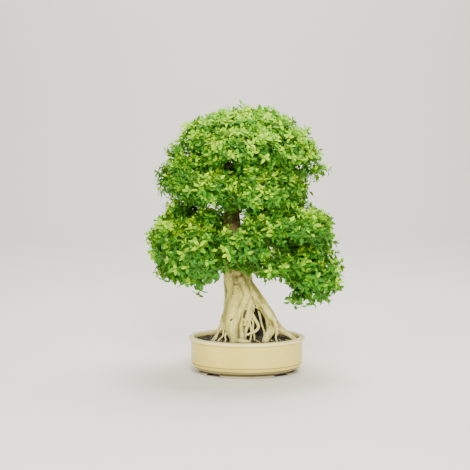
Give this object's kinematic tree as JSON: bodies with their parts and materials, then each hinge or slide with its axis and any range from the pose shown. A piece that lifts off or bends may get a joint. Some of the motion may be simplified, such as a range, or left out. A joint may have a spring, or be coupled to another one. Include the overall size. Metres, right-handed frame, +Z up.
{
  "type": "bonsai tree in pot",
  "caption": "Small-leaved bonsai tree with a thick flared trunk, open surface roots and cloud-shaped foliage, growing in soil in an oval glazed pot with low feet and a rolled rim.",
  "frame": {"origin": "middle of the bounding box in plan, on the plane the pot's feet stand on", "axes": "+Z up along the trunk, +X to the right of the tree's front, +Y to its back"},
  "size_m": [0.5839, 0.4742, 0.805],
  "materials": {
    "pot_glaze": "satin cream glaze",
    "soil": "dark moist grit with moss",
    "gravel": "coarse pumice",
    "screen_plastic": "moulded mesh",
    "wire": "dull",
    "bark": "smooth living bark",
    "leaves": "glossy leaves, young ones yellow-green"
  },
  "bodies": {
    "root": {"branch_crown_back": "bark", "branch_crown_front": "bark", "branch_crown_left": "bark", "branch_crown_right": "bark", "branch_hanging_front_right": "bark", "branch_hanging_right": "bark", "branch_lower_back_left": "bark", "branch_lower_back_right": "bark", "branch_lower_front": "bark", "branch_lower_front_left": "bark", "branch_lower_front_right": "bark", "branch_lower_left": "bark", "branch_lower_right": "bark", "branch_upper_back_left": "bark", "branch_upper_back_right": "bark", "branch_upper_front": "bark", "branch_upper_front_left": "bark", "branch_upper_left": "bark", "branch_upper_right": "bark", "drain_screen_left": "screen_plastic", "drain_screen_right": "screen_plastic", "drainage_gravel": "gravel", "foliage_crown": "leaves", "foliage_crown_back": "leaves", "foliage_crown_front": "leaves", "foliage_crown_left": "leaves", "foliage_crown_right": "leaves", "foliage_hanging_front_right": "leaves", "foliage_hanging_right": "leaves", "foliage_lower_back_left": "leaves", "foliage_lower_back_right": "leaves", "foliage_lower_front": "leaves", "foliage_lower_front_left": "leaves", "foliage_lower_front_right": "leaves", "foliage_lower_left": "leaves", "foliage_lower_right": "leaves", "foliage_upper_back_left": "leaves", "foliage_upper_back_right": "leaves", "foliage_upper_front": "leaves", "foliage_upper_front_left": "leaves", "foliage_upper_left": "leaves", "foliage_upper_right": "leaves", "pot": "pot_glaze", "screen_wire_left": "wire", "screen_wire_right": "wire", "soil": "soil", "trunk": "bark"}
  },
  "joints": []
}
